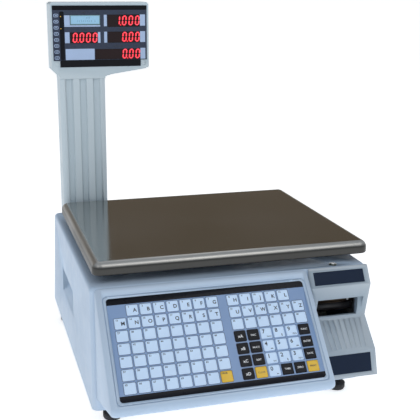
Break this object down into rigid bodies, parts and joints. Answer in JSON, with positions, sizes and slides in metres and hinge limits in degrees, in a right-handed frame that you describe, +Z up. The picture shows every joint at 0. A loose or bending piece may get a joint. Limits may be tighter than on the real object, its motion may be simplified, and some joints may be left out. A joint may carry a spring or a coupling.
{
  "type": "retail price scale",
  "caption": "Counter price scale with a steel platter, sloped membrane keyboard, side-loading label printer and a display head on a column.",
  "frame": {"origin": "on the table, under the middle of the whole object's box", "axes": "+X to the operator's right, +Y from the operator towards the customer, +Z up"},
  "size_m": [0.371, 0.5078, 0.506],
  "materials": {
    "body_plastic": "light blue-grey, fine moulded grain",
    "column_plastic": "grey-green, fine moulded grain",
    "fascia_plastic": "grey-green, fine moulded grain",
    "platter_steel": "stainless, brushed from left to right",
    "tray_steel": "zinc-plated sheet",
    "bright_steel": "plain ground steel",
    "cast_aluminium": "milled and cast",
    "membrane_film": "matt polyester film",
    "key_film": "matt embossed polyester film",
    "key_black": "matt embossed polyester film",
    "key_yellow": "matt embossed polyester film",
    "navy_film": "dark blue-grey panel film",
    "display_film": "slate panel film with dark windows",
    "digit_resin": "red-tinted digit blocks",
    "black_rubber": "satin black",
    "black_plastic": "satin black",
    "brown_metal": "dark brown anodised",
    "circuit_board": "green board with parts",
    "white_nylon": "moulded nylon",
    "brass": "turned",
    "paper": "label paper, wound",
    "level_vial": "clear vial"
  },
  "bodies": {
    "base": {"base_tray": "tray_steel", "housing": "body_plastic", "console_shell": "body_plastic", "keyboard_backplate": "cast_aluminium", "membrane_overlay": "membrane_film", "preset_keys": "key_film", "printer_fascia": "fascia_plastic", "printer_label_panels": "navy_film", "door_hinge_pin": "bright_steel", "printer_chassis": "tray_steel", "feed_motor": "black_plastic", "load_cell_pedestal": "cast_aluminium", "load_cell": "cast_aluminium", "load_cell_bolts": "bright_steel", "main_board": "circuit_board", "power_supply": "tray_steel", "column_front": "column_plastic", "column_rear": "column_plastic", "column_mast": "tray_steel", "display_bezel": "column_plastic", "display_rear_shell": "column_plastic", "display_panel": "display_film", "digit_modules": "digit_resin", "display_board": "circuit_board", "customer_panel": "display_film", "power_inlet": "black_plastic", "data_ports": "black_plastic", "spirit_level": "level_vial", "screws": "bright_steel"},
    "weighing_frame": {"platter_spider": "cast_aluminium", "platter_buffers": "black_rubber"},
    "platter": {"platter": "platter_steel"},
    "printer_door": {"printer_door": "body_plastic"},
    "print_head": {"print_head": "brown_metal"},
    "platen": {"platen_roller": "black_rubber", "platen_gear": "white_nylon"},
    "motor_pinion": {"motor_pinion": "brass"},
    "label_roll": {"label_roll": "paper"},
    "takeup_spool": {"takeup_spool": "black_plastic"},
    "power_rocker": {"power_rocker": "black_plastic"},
    "key_digit_7": {"key_digit_7": "key_film"},
    "key_digit_8": {"key_digit_8": "key_film"},
    "key_digit_9": {"key_digit_9": "key_film"},
    "key_function": {"key_function": "key_black"},
    "key_digit_4": {"key_digit_4": "key_film"},
    "key_digit_5": {"key_digit_5": "key_film"},
    "key_digit_6": {"key_digit_6": "key_film"},
    "key_enter": {"key_enter": "key_black"},
    "key_digit_1": {"key_digit_1": "key_film"},
    "key_digit_2": {"key_digit_2": "key_film"},
    "key_digit_3": {"key_digit_3": "key_film"},
    "key_date": {"key_date": "key_black"},
    "key_digit_0": {"key_digit_0": "key_film"},
    "key_point": {"key_point": "key_black"},
    "key_zero_set": {"key_zero_set": "key_black"},
    "key_print": {"key_print": "key_yellow"},
    "foot_front_left": {"foot_front_left": "black_rubber"},
    "foot_front_right": {"foot_front_right": "black_rubber"},
    "foot_rear_left": {"foot_rear_left": "black_rubber"},
    "foot_rear_right": {"foot_rear_right": "black_rubber"}
  },
  "joints": [
    {"name": "weigh_deflection", "type": "slide", "parent": "base", "child": "weighing_frame", "axis": [0, 0, -1], "range_m": [0, 0.0005], "stiffness_N_per_m": 60000, "springref_m": -0.0008, "deforming": ["load_cell"]},
    {"name": "platter_lift_off", "type": "slide", "parent": "weighing_frame", "child": "platter", "axis": [0, 0, 1], "range_m": [0, 0.03]},
    {"name": "door_hinge", "type": "hinge", "parent": "base", "child": "printer_door", "pos_m": [0.1814, 0.04032, 0.098], "axis": [0, 0, 1], "range_deg": [0, 110]},
    {"name": "head_pivot", "type": "hinge", "parent": "base", "child": "print_head", "pos_m": [0.13275, -0.10158, 0.139], "axis": [-1, 0, 0], "range_deg": [0, 30], "stiffness_Nm_per_rad": 0.1, "springref_deg": -17.19},
    {"name": "platen_spin", "type": "hinge", "parent": "base", "child": "platen", "pos_m": [0.13275, -0.13558, 0.12], "axis": [1, 0, 0], "continuous": true},
    {"name": "motor_spin", "type": "hinge", "parent": "base", "child": "motor_pinion", "pos_m": [0.099, -0.11148, 0.11297], "axis": [1, 0, 0], "continuous": true},
    {"name": "roll_spin", "type": "hinge", "parent": "base", "child": "label_roll", "pos_m": [0.136, -0.02708, 0.077], "axis": [1, 0, 0], "continuous": true},
    {"name": "takeup_spin", "type": "hinge", "parent": "base", "child": "takeup_spool", "pos_m": [0.136, -0.10108, 0.054], "axis": [1, 0, 0], "continuous": true},
    {"name": "rocker_tilt", "type": "hinge", "parent": "base", "child": "power_rocker", "pos_m": [0.0645, 0.20892, 0.055], "axis": [-1, 0, 0], "range_deg": [0, 12]},
    {"name": "key_digit_7_press", "type": "slide", "parent": "base", "child": "key_digit_7", "axis": [0, 0.7396, -0.673], "range_m": [0, 0.0005], "stiffness_N_per_m": 300},
    {"name": "key_digit_8_press", "type": "slide", "parent": "base", "child": "key_digit_8", "axis": [0, 0.7396, -0.673], "range_m": [0, 0.0005], "stiffness_N_per_m": 300},
    {"name": "key_digit_9_press", "type": "slide", "parent": "base", "child": "key_digit_9", "axis": [0, 0.7396, -0.673], "range_m": [0, 0.0005], "stiffness_N_per_m": 300},
    {"name": "key_function_press", "type": "slide", "parent": "base", "child": "key_function", "axis": [0, 0.7396, -0.673], "range_m": [0, 0.0005], "stiffness_N_per_m": 300},
    {"name": "key_digit_4_press", "type": "slide", "parent": "base", "child": "key_digit_4", "axis": [0, 0.7396, -0.673], "range_m": [0, 0.0005], "stiffness_N_per_m": 300},
    {"name": "key_digit_5_press", "type": "slide", "parent": "base", "child": "key_digit_5", "axis": [0, 0.7396, -0.673], "range_m": [0, 0.0005], "stiffness_N_per_m": 300},
    {"name": "key_digit_6_press", "type": "slide", "parent": "base", "child": "key_digit_6", "axis": [0, 0.7396, -0.673], "range_m": [0, 0.0005], "stiffness_N_per_m": 300},
    {"name": "key_enter_press", "type": "slide", "parent": "base", "child": "key_enter", "axis": [0, 0.7396, -0.673], "range_m": [0, 0.0005], "stiffness_N_per_m": 300},
    {"name": "key_digit_1_press", "type": "slide", "parent": "base", "child": "key_digit_1", "axis": [0, 0.7396, -0.673], "range_m": [0, 0.0005], "stiffness_N_per_m": 300},
    {"name": "key_digit_2_press", "type": "slide", "parent": "base", "child": "key_digit_2", "axis": [0, 0.7396, -0.673], "range_m": [0, 0.0005], "stiffness_N_per_m": 300},
    {"name": "key_digit_3_press", "type": "slide", "parent": "base", "child": "key_digit_3", "axis": [0, 0.7396, -0.673], "range_m": [0, 0.0005], "stiffness_N_per_m": 300},
    {"name": "key_date_press", "type": "slide", "parent": "base", "child": "key_date", "axis": [0, 0.7396, -0.673], "range_m": [0, 0.0005], "stiffness_N_per_m": 300},
    {"name": "key_digit_0_press", "type": "slide", "parent": "base", "child": "key_digit_0", "axis": [0, 0.7396, -0.673], "range_m": [0, 0.0005], "stiffness_N_per_m": 300},
    {"name": "key_point_press", "type": "slide", "parent": "base", "child": "key_point", "axis": [0, 0.7396, -0.673], "range_m": [0, 0.0005], "stiffness_N_per_m": 300},
    {"name": "key_zero_set_press", "type": "slide", "parent": "base", "child": "key_zero_set", "axis": [0, 0.7396, -0.673], "range_m": [0, 0.0005], "stiffness_N_per_m": 300},
    {"name": "key_print_press", "type": "slide", "parent": "base", "child": "key_print", "axis": [0, 0.7396, -0.673], "range_m": [0, 0.0005], "stiffness_N_per_m": 300},
    {"name": "foot_front_left_spin", "type": "hinge", "parent": "base", "child": "foot_front_left", "pos_m": [-0.1585, -0.13908, 0.009], "axis": [0, 0, 1], "continuous": true},
    {"name": "foot_front_right_spin", "type": "hinge", "parent": "base", "child": "foot_front_right", "pos_m": [0.1515, -0.13908, 0.009], "axis": [0, 0, 1], "continuous": true},
    {"name": "foot_rear_left_spin", "type": "hinge", "parent": "base", "child": "foot_rear_left", "pos_m": [-0.1705, 0.18892, 0.009], "axis": [0, 0, 1], "continuous": true},
    {"name": "foot_rear_right_spin", "type": "hinge", "parent": "base", "child": "foot_rear_right", "pos_m": [0.1635, 0.18892, 0.009], "axis": [0, 0, 1], "continuous": true}
  ],
  "couplings": [
    {"joint": "motor_spin", "follows": "platen_spin", "ratio": -1.5}
  ]
}
